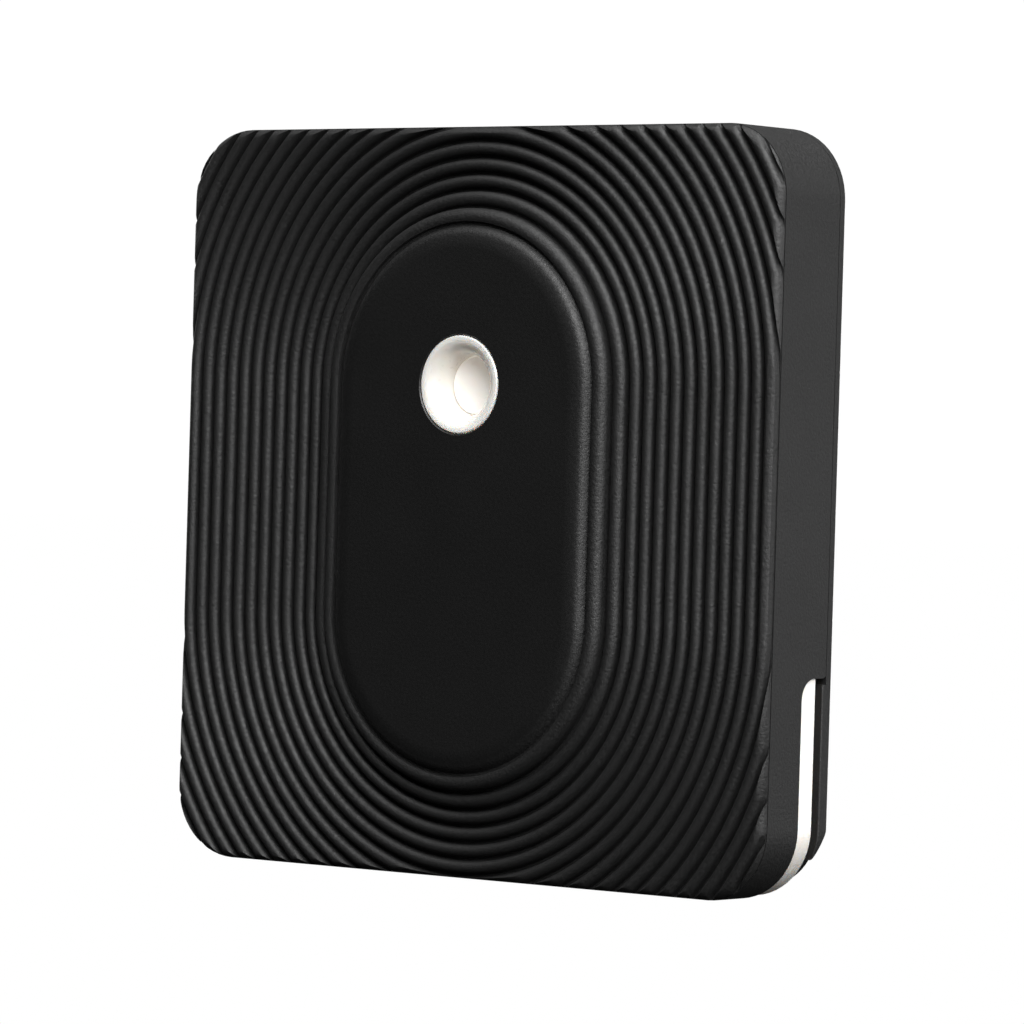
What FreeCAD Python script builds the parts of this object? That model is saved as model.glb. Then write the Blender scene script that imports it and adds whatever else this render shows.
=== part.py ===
import FreeCAD, Part
import math
import os

# Coin-cell temperature and humidity sensor: a flat square case with a raised stadium plate on its
# front, ringed by concentric half-round beads. Millimetres, +Z up, the back face on Y = 0 and the
# front towards -Y. Every "height" below is measured forwards from the back face.

# Outside of the case
case_width = 36.0
case_height = 36.0
corner_radius = 3.4
wall = 1.1
edge_round = 0.25
round_flats = 2

# Front relief: a flat plate, a swell that falls away from it and a level field of beads
plate_height = 6.0
field_height = 4.75
plate_half_width = 6.5
lower_span = 5.34
first_groove = 7.7
swell_radius = 3.8
swell_end = 10.1
swell_pitch = 0.83
bead_pitch = 0.785
bead_rise = 0.35
bead_flats = 3
shoulder_flats = 2
rim_width = 0.35
front_skin = 0.7
plate_skin = 0.9
core_width = 10.4
core_length = 19.0

# Hole for the button and the funnel that lines it
hole_diameter = 4.8
funnel_clearance = 0.05
mouth_rim = 0.15
bore_diameter = 2.9
mouth_depth = 1.1
mouth_flats = 3

# Back cover and its seam
flange_thickness = 0.45
flange_bevel = 0.1
cover_floor = 0.75
spigot_clearance = 0.1
spigot_wall = 0.7
spigot_height = 0.3
rail_gap = 0.5
lip_thickness = 0.7
lip_root = 0.3
lip_run = 0.5
lip_slant = 1.2
pocket_inset = 0.45

# Pry notch round the lower right corner
notch_reach = 10.4
notch_height = 2.35
notch_round = 1.0
notch_gap = 0.03
notch_recess = 0.1

# Inner frame: web against the front, skirt along the walls
web_thickness = 0.5
skirt_thickness = 0.8
skirt_clearance = 0.05
skirt_rear = 1.1

# Snap tongues of the back cover and their pockets in the case wall
snap_offset = 7.0
snap_width = 4.0
snap_thickness = 0.5
snap_bump = 0.25
snap_clearance = 0.03
snap_top = 2.1
bump_top = 2.0
bump_bottom = 1.5
pocket_margin = 0.1
slot_margin = 0.2
pocket_depth = 0.3

# Circuit board and the ribs and hooks of the frame that hold it
board_rear = 1.6
board_thickness = 0.8
board_clearance = 0.15
board_leg_gap = 17.0
rib_offset = 11.5
rib_length = 1.5
rib_reach = 0.8
hook_length = 3.0
hook_reach = 0.3

# Coin cell
cell_diameter = 20.0
cell_thickness = 2.5
cell_clearance = 0.15
cell_play = 0.05
opening_clearance = 0.4
cap_diameter = 17.4
cap_rise = 0.15

# Contacts
contact_thickness = 0.2
contact_gap = 0.05
clip_half_angle = 12.0
leaf_margin = 0.3
clip_base = 3.2
spring_width = 3.0
spring_base = 3.2
spring_reach = 11.5
riser_inset = 0.15
contact_bead = 0.03
bead_inset = 0.5

# Button and tact switch
button_diameter = 2.8
button_depth = 1.3
head_length = 0.25
flange_diameter = 3.8
button_flange = 0.35
button_travel = 0.25
button_play = 0.05
flange_side_play = 0.1
stem_diameter = 1.2
switch_width = 3.0
switch_depth = 2.0
switch_height = 0.6
switch_gap = 0.12
switch_cover_sheet = 0.1
plunger_diameter = 1.5
plunger_clearance = 0.05
plunger_rise = 0.25
plunger_root = 0.15
well_spare = 0.1

# Parts on the board
chip_size = 5.0
chip_height = 0.85
chip_gap = 0.6
crystal_length = 2.0
crystal_width = 1.6
crystal_height = 0.5
watch_length = 3.2
watch_width = 1.5
watch_height = 0.75
antenna_length = 7.0
antenna_width = 2.0
antenna_height = 0.8
antenna_margin = 0.4
sensor_size = 2.5
sensor_height = 0.9
sensor_port = 0.9
port_depth = 0.4
sensor_gap = 0.5
led_length = 1.6
led_width = 0.8
led_height = 0.4
led_edge = 0.1
led_gap = 0.5
passive_length = 1.0
passive_width = 0.5
capacitor_height = 0.5
resistor_height = 0.3
passive_pitch = 1.1
row_pitch = 1.3
passive_gap = 0.5
pad_length = 1.6
pad_width = 1.0
pad_pitch = 2.0
pad_thickness = 0.04
pad_margin = 1.4
pad_count = 5

# How far a solid reaches into the one it is fused with, or a cutter past what it cuts
overlap = 0.1

# Heights and places that follow from the sizes above
inner_face = field_height - front_skin
web_rear = inner_face - web_thickness
rim_height = field_height + bead_rise
board_front = board_rear + board_thickness
skirt_face = wall + skirt_clearance + skirt_thickness
cell_rear = cover_floor + cell_play
cell_front = cell_rear + cell_thickness
cell_z = -case_height / 2 + skirt_face + cell_clearance + cell_diameter / 2
cell_opening = cell_diameter + 2 * opening_clearance
hole_z = cell_z + cell_opening / 2 + switch_gap + switch_depth / 2
arc_span = hole_z
lip_end = case_height / 2 - corner_radius + lip_run
switch_front = board_front + switch_height
plunger_front = switch_front + plunger_rise
button_face = plate_height - button_depth
snap_places = [
    ("top", -snap_offset),
    ("top", snap_offset),
    ("left", snap_offset),
    ("left", -snap_offset),
    ("right", snap_offset),
    ("bottom", -snap_offset),
]


def at(x, height, z):
    """A point given by its height in front of the back face."""
    return FreeCAD.Vector(x, -height, z)


def box(x0, x1, h0, h1, z0, z1):
    return Part.makeBox(x1 - x0, h1 - h0, z1 - z0, at(x0, h1, z0))


def disc(diameter, h0, h1, x=0.0, z=0.0):
    return Part.makeCylinder(diameter / 2, h1 - h0, at(x, h0, z), FreeCAD.Vector(0, -1, 0))


def ring(outer, inner, h0, h1, x=0.0, z=0.0):
    return disc(outer, h0, h1, x, z).cut(disc(inner, h0 - 1, h1 + 1, x, z))


def fuse_all(shapes):
    return shapes[0].fuse(shapes[1:]).removeSplitter()


def case_prism(inset, radius, h0, h1):
    """Prism of the case outline drawn in by inset, with rounded corners."""
    half_x = case_width / 2 - inset
    half_z = case_height / 2 - inset
    solid = box(-half_x, half_x, h0, h1, -half_z, half_z)
    return solid.makeFillet(radius, edges_along(solid, "Y"))


def case_outline(inset, height):
    """Closed outline of the case drawn in by inset, at one height."""
    prism = case_prism(inset, corner_radius - inset, height - 1, height)
    face = max(prism.Faces, key=lambda one: -one.CenterOfMass.y)
    return face.OuterWire


def rounded_front():
    """The rounded front edge of the case, drawn as a few flats between outlines."""
    outlines = []
    for index in range(round_flats + 1):
        angle = math.pi / 2 * index / round_flats
        inset = edge_round * (1 - math.cos(angle))
        height = rim_height - edge_round * (1 - math.sin(angle))
        outlines.append(case_outline(inset, height))
    return Part.makeLoft(outlines, True, True)


def edges_along(solid, axis):
    """Straight edges of a box that run along one axis."""
    found = []
    for edge in solid.Edges:
        start = edge.Vertexes[0].Point
        end = edge.Vertexes[-1].Point
        run = end - start
        parts = {"X": abs(run.x), "Y": abs(run.y), "Z": abs(run.z)}
        if parts[axis] > 1e-6 and sum(parts.values()) - parts[axis] < 1e-6:
            found.append(edge)
    return found


def edges_at_height(solid, height):
    """Edges that lie in the plane at one height."""
    found = []
    for edge in solid.Edges:
        bounds = edge.BoundBox
        if abs(bounds.YMin + height) < 1e-4 and abs(bounds.YMax + height) < 1e-4:
            found.append(edge)
    return found


def wall_block(side, along, length, near, far, h0, h1):
    """Box against one wall, from near to far inside the case outline."""
    half_x = case_width / 2
    half_z = case_height / 2
    first = along - length / 2
    last = along + length / 2
    if side == "top":
        return box(first, last, h0, h1, half_z - far, half_z - near)
    if side == "bottom":
        return box(first, last, h0, h1, near - half_z, far - half_z)
    if side == "right":
        return box(half_x - far, half_x - near, h0, h1, first, last)
    return box(near - half_x, far - half_x, h0, h1, first, last)


def profile_face(points, z=0.0):
    """Flat face through (radius, height) points, in the plane of one z."""
    corners = [at(radius, height, z) for radius, height in points]
    return Part.Face(Part.makePolygon(corners + [corners[0]]))


def spun(points, z=0.0, turn=360):
    """Solid of revolution of a (radius, height) profile about the Y axis through x = 0."""
    return profile_face(points, z).revolve(at(0, 0, z), FreeCAD.Vector(0, -1, 0), turn)


# Front relief: one half profile, swept round the stadium by two half turns and two straight runs
def swell(radius):
    """Rise of the ground above the field: a concave arc that runs out level at swell_end."""
    if radius >= swell_end:
        return 0.0
    return swell_radius - math.sqrt(swell_radius ** 2 - (swell_end - radius) ** 2)


def groove_radii():
    """Radii of the grooves, from the plate out past the farthest corner."""
    farthest = math.hypot(case_width / 2, case_height / 2 - min(arc_span, lower_span))
    radii = [first_groove]
    while radii[-1] < farthest:
        step = swell_pitch if radii[-1] + swell_pitch / 2 < swell_end - bead_pitch else bead_pitch
        radii.append(radii[-1] + step)
    return radii


def bead_points(inner, outer):
    """Corners of the half-round bead between two grooves, drawn as a few flats on its arc."""
    drop = inner[1] - outer[1]
    run = outer[0] - inner[0]
    chord = math.hypot(drop, run)
    along = (run / chord, -drop / chord)
    upwards = (drop / chord, run / chord)
    bend = (chord ** 2 / 4 + bead_rise ** 2) / (2 * bead_rise)
    half_angle = math.acos((bend - bead_rise) / bend)
    points = []
    for index in range(1, bead_flats):
        angle = half_angle * (2 * index / bead_flats - 1)
        forward = chord / 2 + bend * math.sin(angle)
        height = bend * math.cos(angle) - (bend - bead_rise)
        radius_here = inner[0] + forward * along[0] + height * upwards[0]
        height_here = inner[1] + forward * along[1] + height * upwards[1]
        points.append((radius_here, height_here))
    return points


def relief_profile():
    grooves = [(radius, field_height + swell(radius)) for radius in groove_radii()]
    fall = plate_height - grooves[0][1]
    reach = first_groove - plate_half_width
    bend = (reach ** 2 + fall ** 2) / (2 * fall)
    whole_angle = math.asin(reach / bend)
    points = [(0.0, inner_face), (0.0, plate_height)]
    for index in range(shoulder_flats):
        angle = whole_angle * index / shoulder_flats
        radius = plate_half_width + bend * math.sin(angle)
        points.append((radius, plate_height - bend * (1 - math.cos(angle))))
    points.append(grooves[0])
    for inner, outer in zip(grooves, grooves[1:]):
        points.extend(bead_points(inner, outer))
        points.append(outer)
    points.append((grooves[-1][0], inner_face))
    return points


def relief():
    profile = relief_profile()
    upper = spun(profile, arc_span, 180)
    lower = spun(profile, -lower_span, -180)
    right = profile_face(profile, -lower_span).extrude(FreeCAD.Vector(0, 0, arc_span + lower_span))
    left = right.mirror(at(0, 0, 0), FreeCAD.Vector(1, 0, 0))
    return upper.fuse([lower, right, left]).removeSplitter()


def notch_block(gap, h0, h1):
    """Corner block that wraps the lower right corner, its two outer ends rounded at the front."""
    left_end = case_width / 2 - notch_reach + gap
    upper_end = notch_reach - gap - case_height / 2
    solid = box(left_end, case_width / 2 + 2, h0, h1, -case_height / 2 - 2, upper_end)
    rounded = []
    for edge in edges_at_height(solid, h1):
        middle = edge.BoundBox.Center
        if abs(middle.x - left_end) < 1e-4 or abs(middle.z - upper_end) < 1e-4:
            rounded.append(edge)
    return solid.makeFillet(notch_round, rounded)


# Front cover: walls, relief, button hole, pry notch and snap pockets
def front_cover():
    cavity_corner = corner_radius - wall
    rim_corner = corner_radius - rim_width
    shell = case_prism(0, corner_radius, flange_thickness, rim_height - edge_round)
    shell = fuse_all([shell, rounded_front()])
    shell = shell.cut(case_prism(rim_width, rim_corner, inner_face, rim_height + 1))
    shell = shell.cut(case_prism(wall, cavity_corner, flange_thickness - 1, inner_face))
    face = relief().common(case_prism(rim_width, rim_corner, inner_face, plate_height + 1))
    cover = shell.fuse(face)
    half_x = core_width / 2
    half_z = core_length / 2
    cover = cover.cut(box(-half_x, half_x, inner_face - 1, plate_height - plate_skin, -half_z, half_z))
    cover = cover.cut(disc(hole_diameter, 0, plate_height + 1, 0, hole_z))
    cover = cover.cut(notch_block(0, -1, notch_height))
    for side, along in snap_places:
        width = snap_width + 2 * pocket_margin
        low = bump_bottom - pocket_margin
        high = snap_top + pocket_margin
        cover = cover.cut(wall_block(side, along, width, wall - pocket_depth, wall + overlap, low, high))
    return cover.removeSplitter()


# Inner frame, moulded in one: web, skirt, funnel, board ribs and hooks, and the pad that fills the notch
def light_guide_frame():
    outer_inset = wall + skirt_clearance
    outer = case_prism(outer_inset, corner_radius - outer_inset, skirt_rear, inner_face)
    hollow = case_prism(skirt_face, corner_radius - skirt_face, skirt_rear - 1, web_rear)
    frame = outer.cut(hollow)
    for side, along in snap_places:
        width = snap_width + 2 * slot_margin
        far = skirt_face + overlap
        frame = frame.cut(wall_block(side, along, width, wall - overlap, far, 0, snap_top + slot_margin))
    pad = case_prism(notch_recess, corner_radius - notch_recess, skirt_rear, notch_height)
    pad = pad.common(notch_block(notch_gap, skirt_rear - 1, notch_height - notch_gap))
    pad = pad.cut(case_prism(skirt_face, corner_radius - skirt_face, 0, notch_height + 1))
    frame = frame.cut(disc(cell_opening, web_rear - 1, inner_face + 1, 0, cell_z))
    frame = frame.fuse([pad] + board_ribs() + board_hooks())
    neck_radius = hole_diameter / 2 - funnel_clearance
    well_radius = flange_diameter / 2 + flange_side_play
    well_top = button_seat() + button_play
    bore = bore_diameter / 2
    mouth_radius = neck_radius - mouth_rim
    mouth_bottom = plate_height - mouth_depth
    profile = [
        (well_radius, web_rear),
        (neck_radius, web_rear),
        (neck_radius, plate_height),
    ]
    for index in range(mouth_flats + 1):
        angle = math.pi / 2 * index / mouth_flats
        radius = mouth_radius - (mouth_radius - bore) * math.sin(angle)
        profile.append((radius, mouth_bottom + mouth_depth * math.cos(angle)))
    profile += [(bore, well_top), (well_radius, well_top)]
    funnel = spun(profile, hole_z)
    frame = frame.cut(disc(2 * well_radius, web_rear - 1, inner_face + 1, 0, hole_z))
    return frame.fuse(funnel).removeSplitter()


def board_ribs():
    """Ribs on the web that the front of the board rests on, two on each side wall."""
    ribs = []
    far = skirt_face + rib_reach
    for side in ("left", "right"):
        for along in (rib_offset, -rib_offset):
            ribs.append(wall_block(side, along, rib_length, skirt_face, far, board_front, web_rear))
    return ribs


def board_hooks():
    """Hooks at the rear of the skirt that the board is pressed in past."""
    hooks = []
    for side, along in (("left", 0), ("right", 0), ("top", 0)):
        far = skirt_face + board_clearance + hook_reach
        hooks.append(wall_block(side, along, hook_length, skirt_face, far, skirt_rear, board_rear))
    return hooks


# Button: a flat disc in the funnel's bore, a flange that keeps it in and a stem to the switch
def button_seat():
    """Height of the front of the button's flange."""
    return button_face - head_length


def control_button():
    seat = button_seat()
    head = disc(button_diameter, seat - button_flange, button_face, 0, hole_z)
    flange = disc(flange_diameter, seat - button_flange, seat, 0, hole_z)
    stem = disc(stem_diameter, plunger_front, seat - button_flange, 0, hole_z)
    return fuse_all([head, flange, stem])


# Tact switch: moulded body with a well, sheet cover over it and the round plunger
def tact_switch():
    well_diameter = plunger_diameter + 2 * plunger_clearance
    well_floor = switch_front - plunger_root - button_travel - well_spare
    half_x = switch_width / 2
    half_z = switch_depth / 2
    body_front = switch_front - switch_cover_sheet
    body = box(-half_x, half_x, board_front, body_front, hole_z - half_z, hole_z + half_z)
    body = body.cut(disc(well_diameter, well_floor, body_front + 1, 0, hole_z))
    cover = box(-half_x, half_x, body_front, switch_front, hole_z - half_z, hole_z + half_z)
    cover = cover.cut(disc(well_diameter, body_front - 1, switch_front + 1, 0, hole_z))
    plunger = disc(plunger_diameter, switch_front - plunger_root, plunger_front, 0, hole_z)
    return body, cover, plunger


# Circuit board: an arch round the coin cell, between the ribs and hooks of the frame
def circuit_board():
    inset = skirt_face + board_clearance
    board = case_prism(inset, corner_radius - inset, board_rear, board_front)
    board = board.cut(disc(cell_opening, 0, board_front + 1, 0, cell_z))
    half_gap = board_leg_gap / 2
    board = board.cut(box(-half_gap, half_gap, 0, board_front + 1, -case_height, cell_z))
    return board


def on_board(x, z, length, width, height):
    """A rectangular part soldered flat on the front of the board."""
    half_x = length / 2
    half_z = width / 2
    return box(x - half_x, x + half_x, board_front, board_front + height, z - half_z, z + half_z)


def board_top_edge():
    return case_height / 2 - skirt_face - board_clearance


def leg_middle():
    """Distance from the middle of the case to the middle of a board leg."""
    outer = case_width / 2 - skirt_face - board_clearance
    return (outer + cell_opening / 2) / 2


def upper_middle():
    """Height on the board half way between the cell opening and the upper edge."""
    return (board_top_edge() + cell_z + cell_opening / 2) / 2


def radio_chip():
    return on_board(-chip_size, upper_middle(), chip_size, chip_size, chip_height)


def main_crystal():
    x = -chip_size / 2 + chip_gap + crystal_length / 2
    z = upper_middle() + (chip_size - crystal_width) / 2
    return on_board(x, z, crystal_length, crystal_width, crystal_height)


def watch_crystal():
    x = -chip_size * 1.5 - chip_gap - watch_width / 2
    return on_board(x, upper_middle(), watch_width, watch_length, watch_height)


def chip_antenna():
    x = leg_middle() - antenna_length / 2
    z = board_top_edge() - antenna_margin - antenna_width / 2
    return on_board(x, z, antenna_length, antenna_width, antenna_height)


def humidity_sensor():
    z = cell_z - spring_width / 2 - sensor_gap - sensor_size / 2
    body = on_board(leg_middle(), z, sensor_size, sensor_size, sensor_height)
    half = sensor_port / 2
    top = board_front + sensor_height
    port = box(leg_middle() - half, leg_middle() + half, top - port_depth, top + 1, z - half, z + half)
    return body.cut(port)


def status_led():
    x = switch_width / 2 + led_gap + led_width / 2
    body = on_board(x, hole_z, led_width, led_length, led_height)
    return body.makeChamfer(led_edge, edges_at_height(body, board_front + led_height))


def capacitors():
    """A row under the radio chip and two by the sensor."""
    row = []
    for index in range(4):
        x = -chip_size * 1.5 + passive_length / 2 + index * row_pitch
        z = upper_middle() + chip_size / 2 + passive_gap + passive_width / 2
        row.append(on_board(x, z, passive_length, passive_width, capacitor_height))
    for index in range(2):
        z = cell_z + spring_width / 2 + (index + 1) * passive_pitch
        row.append(on_board(leg_middle(), z, passive_length, passive_width, capacitor_height))
    return Part.makeCompound(row)


def resistors():
    """A short column between the switch and the antenna."""
    column = []
    for index in range(3):
        x = switch_width / 2 + 2 * led_gap + led_width + passive_length
        z = hole_z + index * passive_pitch
        column.append(on_board(x, z, passive_length, passive_width, resistor_height))
    return Part.makeCompound(column)


def programming_pads():
    """Gilded pads in a row on the rear of the board."""
    pads = []
    first = -pad_pitch * (pad_count - 1) / 2 - pad_width / 2
    upper = board_top_edge() - pad_margin
    for index in range(pad_count):
        x = first + index * pad_pitch
        pads.append(box(x, x + pad_width, board_rear - pad_thickness, board_rear, upper - pad_length, upper))
    return Part.makeCompound(pads)


# Battery contacts: a curved leaf at the side of the can and a sprung strip over the cap
def battery_positive_clip():
    inner = cell_diameter + 2 * contact_gap
    leaf_front = board_front + contact_thickness
    leaf = ring(inner + 2 * contact_thickness, inner, cell_rear + leaf_margin, leaf_front, 0, cell_z)
    half = math.sin(math.radians(clip_half_angle)) * cell_diameter / 2
    keep = box(-cell_diameter, 0, 0, leaf_front, cell_z - half, cell_z + half)
    leaf = leaf.common(keep)
    edge = cell_opening / 2
    base_end = -edge - clip_base
    base = box(base_end, -cell_diameter / 2, board_front, leaf_front, cell_z - half, cell_z + half)
    base = base.cut(disc(inner, 0, leaf_front + 1, 0, cell_z))
    return fuse_all([leaf, base])


def battery_negative_spring():
    half = spring_width / 2
    edge = cell_opening / 2 + riser_inset
    arm_rear = cell_front + contact_gap
    arm_front = arm_rear + contact_thickness
    base_front = board_front + contact_thickness
    base = box(edge, edge + spring_base, board_front, base_front, cell_z - half, cell_z + half)
    riser = box(edge, edge + contact_thickness, board_front, arm_front, cell_z - half, cell_z + half)
    tip = edge - spring_reach
    arm = box(tip, edge + contact_thickness, arm_rear, arm_front, cell_z - half, cell_z + half)
    bead_end = tip + 2 * bead_inset
    bead_rear = arm_rear - contact_bead
    bead = box(tip + bead_inset, bead_end, bead_rear, arm_rear, cell_z - half, cell_z + half)
    return fuse_all([base, riser, arm, bead])


# Coin cell: the closed can with its turned-in lip and the cap that stands a little proud of it
def battery_can():
    return disc(cell_diameter, cell_rear, cell_front - cap_rise, 0, cell_z)


def battery_cap():
    return disc(cap_diameter, cell_front - cap_rise, cell_front, 0, cell_z)


# Back cover: flange over the wall ends, spigot inside them, snap tongues, pry lip and pry pocket
def pry_pocket():
    """What is cut off the rear edge, from the slanted end of the lip to the far end of the notch."""
    left_end = case_width / 2 - notch_reach
    top = lip_thickness + overlap
    corners = [
        at(left_end, -overlap, -lip_end),
        at(left_end, top, -lip_end - lip_slant),
        at(left_end, top, -case_height),
        at(left_end, -overlap, -case_height),
    ]
    block = Part.Face(Part.makePolygon(corners + corners[:1])).extrude(FreeCAD.Vector(case_width, 0, 0))
    return block.cut(case_prism(pocket_inset, corner_radius - pocket_inset, -1, top + 1))


def back_cover():
    flange = case_prism(0, corner_radius, 0, flange_thickness)
    flange = flange.makeChamfer(flange_bevel, edges_at_height(flange, 0))
    spigot_inset = wall + spigot_clearance
    spigot_corner = corner_radius - spigot_inset
    floor = case_prism(spigot_inset, spigot_corner, flange_thickness / 2, cover_floor)
    rails = []
    rail_top = cover_floor + spigot_height
    rail_far = spigot_inset + spigot_wall
    sides = {"top": case_width, "bottom": case_width, "left": case_height, "right": case_height}
    for side, length in sides.items():
        run = length - 2 * corner_radius
        rail = wall_block(side, 0, run, spigot_inset, rail_far, cover_floor - overlap, rail_top)
        rails.append(rail.cut(notch_block(-rail_gap, 0, rail_top + 1)))
    lip = case_prism(0, corner_radius, 0, lip_thickness)
    lip = lip.makeChamfer(flange_bevel, edges_at_height(lip, 0))
    lip = lip.common(notch_block(spigot_clearance, -1, notch_height))
    lip_inset = spigot_inset + lip_root
    lip = lip.cut(case_prism(lip_inset, corner_radius - lip_inset, -1, lip_thickness + 1))
    cover = flange.fuse([floor, lip] + rails).cut(pry_pocket())
    outer = wall + snap_clearance + snap_bump
    for side, along in snap_places:
        tongue_far = outer + snap_thickness
        tongue = wall_block(side, along, snap_width, outer, tongue_far, cover_floor - overlap, snap_top)
        near = outer - snap_bump
        bump = wall_block(side, along, snap_width, near, outer + overlap, bump_bottom, bump_top)
        cover = cover.fuse([tongue, bump])
    return cover.removeSplitter()


def save(name, shape):
    shape.exportStep("parts/" + name + ".step")
    print(name, "solids", len(shape.Solids), "valid", shape.isValid(), "volume", round(shape.Volume, 3))


os.makedirs("parts", exist_ok=True)
switch_body, switch_cover, switch_plunger = tact_switch()
save("front_cover", front_cover())
save("light_guide_frame", light_guide_frame())
save("control_button", control_button())
save("tact_switch_body", switch_body)
save("tact_switch_cover", switch_cover)
save("tact_switch_plunger", switch_plunger)
save("circuit_board", circuit_board())
save("radio_chip", radio_chip())
save("main_crystal", main_crystal())
save("watch_crystal", watch_crystal())
save("chip_antenna", chip_antenna())
save("humidity_sensor", humidity_sensor())
save("status_led", status_led())
save("chip_capacitors", capacitors())
save("chip_resistors", resistors())
save("programming_pads", programming_pads())
save("battery_positive_clip", battery_positive_clip())
save("battery_negative_spring", battery_negative_spring())
save("battery_can", battery_can())
save("battery_cap", battery_cap())
save("back_cover", back_cover())
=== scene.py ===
import math
import bmesh
import bpy
from mathutils import Matrix, Vector


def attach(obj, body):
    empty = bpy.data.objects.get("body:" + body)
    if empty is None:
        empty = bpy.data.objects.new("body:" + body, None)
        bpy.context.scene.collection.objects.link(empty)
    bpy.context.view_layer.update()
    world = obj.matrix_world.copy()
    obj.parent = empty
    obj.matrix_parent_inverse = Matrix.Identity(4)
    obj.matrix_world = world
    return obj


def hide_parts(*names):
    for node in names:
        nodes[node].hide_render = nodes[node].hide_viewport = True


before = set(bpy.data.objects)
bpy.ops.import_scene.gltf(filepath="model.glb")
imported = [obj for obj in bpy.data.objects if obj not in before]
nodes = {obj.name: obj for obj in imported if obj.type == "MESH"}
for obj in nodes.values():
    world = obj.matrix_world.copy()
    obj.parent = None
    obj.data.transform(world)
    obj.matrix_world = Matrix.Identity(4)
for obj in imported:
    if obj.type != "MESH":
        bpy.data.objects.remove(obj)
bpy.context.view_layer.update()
MM = 0.001

# ---- Back cover
# A moulded ABS plate that closes the case from behind: flange, spigot, rails and six snap tongues.
# Its outside is spark-eroded matte black; at the notch it ends in a thin lip for a fingernail.
case_half = 18.0
corner_radius = 3.4
wall = 1.1
notch_end = 7.6
notch_height = 2.35
notch_round = 1.0
overshoot = 2.0
overlap = 0.1
touching = 1e-7
sharp_angle = math.radians(40)
snap_places = [("top", -7.0), ("top", 7.0), ("left", 7.0), ("left", -7.0), ("right", 7.0), ("bottom", -7.0)]


def point(x, height, z):
    """A place in mm, with its height measured forwards from the back face."""
    return Vector((x, -height, z)) * MM


def add_block(mesh, x, height, z):
    """Adds a closed box; each side is a (low, high) pair in mm."""
    made = bmesh.ops.create_cube(mesh, size=1.0)["verts"]
    spans = [(high - low) * MM for low, high in (x, height, z)]
    centre = point(sum(x) / 2, sum(height) / 2, sum(z) / 2)
    bmesh.ops.transform(mesh, matrix=Matrix.Translation(centre) @ Matrix.Diagonal((*spans, 1.0)), verts=made)


def along_height(one):
    """True for an edge that runs from back to front."""
    run = one.verts[1].co - one.verts[0].co
    return abs(run.y) > 0.99 * run.length


def at_height(height):
    """Picks the edges that lie at one height."""
    return lambda one: all(abs(vert.co.y + height * MM) < touching for vert in one.verts)


def round_off(mesh, chosen, radius, segments):
    """Rounds the edges that a test picks."""
    picked = [one for one in mesh.edges if chosen(one)]
    bmesh.ops.bevel(mesh, geom=picked, affect="EDGES", offset=radius * MM, offset_type="OFFSET",
                    segments=segments, profile=0.5, material=-1)
    return mesh


def case_plate(inset, low, high):
    """Closed slab with the outline of the case drawn in by inset."""
    mesh = bmesh.new()
    half = case_half - inset
    add_block(mesh, (-half, half), (low, high), (-half, half))
    return round_off(mesh, along_height, corner_radius - inset, 14)


def add_wall_block(mesh, side, along, length, near, far, low, high):
    """Adds a box against one wall, from near to far inside the case outline."""
    run = (along - length / 2, along + length / 2)
    depth = (case_half - far, case_half - near)
    if side in ("left", "bottom"):
        depth = (-depth[1], -depth[0])
    if side in ("left", "right"):
        add_block(mesh, depth, (low, high), run)
    else:
        add_block(mesh, run, (low, high), depth)


def notch_block(gap, low, high):
    """Block round the lower right corner, its two outer ends rounded towards the front."""
    mesh = bmesh.new()
    start = notch_end + gap
    add_block(mesh, (start, case_half + overshoot), (low, high), (-case_half - overshoot, -start))

    def outer_end(one):
        middle = (one.verts[0].co + one.verts[1].co) / 2
        ends = abs(middle.x - start * MM) < touching or abs(middle.z + start * MM) < touching
        return at_height(high)(one) and ends

    return round_off(mesh, outer_end, notch_round, 10)


def only_verts(geometry):
    return [one for one in geometry if isinstance(one, bmesh.types.BMVert)]


def gather(meshes):
    """One mesh that holds several, which are used up."""
    whole = bmesh.new()
    for mesh in meshes:
        data = bpy.data.meshes.new("working")
        mesh.to_mesh(data)
        mesh.free()
        whole.from_mesh(data)
        bpy.data.meshes.remove(data)
    return whole


def combine(first, second, operation):
    """Joins, cuts or overlaps two closed meshes, which are used up."""
    pieces = []
    for mesh in (first, second):
        data = bpy.data.meshes.new("working")
        mesh.to_mesh(data)
        mesh.free()
        pieces.append(bpy.data.objects.new("working", data))
        bpy.context.scene.collection.objects.link(pieces[-1])
    step = pieces[0].modifiers.new("step", "BOOLEAN")
    step.operation = operation
    step.solver = "EXACT"
    step.use_self = True
    step.object = pieces[1]
    result = bmesh.new()
    result.from_object(pieces[0], bpy.context.evaluated_depsgraph_get())
    for piece in pieces:
        data = piece.data
        bpy.data.objects.remove(piece)
        bpy.data.meshes.remove(data)
    return result


def make_piece(name, mesh, body, material):
    """Turns a finished mesh into a shaded piece that rides on a body."""
    for face in mesh.faces:
        face.smooth = True
    for one in mesh.edges:
        one.smooth = len(one.link_faces) == 2 and one.calc_face_angle(0) < sharp_angle
    data = bpy.data.meshes.new(name)
    mesh.to_mesh(data)
    mesh.free()
    data.validate()
    piece = bpy.data.objects.new(name, data)
    bpy.context.scene.collection.objects.link(piece)
    data.materials.append(material)
    level = piece.modifiers.new("even_flats", "WEIGHTED_NORMAL")
    level.mode = "FACE_AREA"
    level.weight = 50
    level.keep_sharp = True
    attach(piece, body)
    return piece


def linear(hex_colour):
    """Linear colour of an sRGB hex value."""
    values = []
    for index in (1, 3, 5):
        value = int(hex_colour[index:index + 2], 16) / 255
        values.append(value / 12.92 if value <= 0.04045 else ((value + 0.055) / 1.055) ** 2.4)
    return (*values, 1.0)


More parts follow.
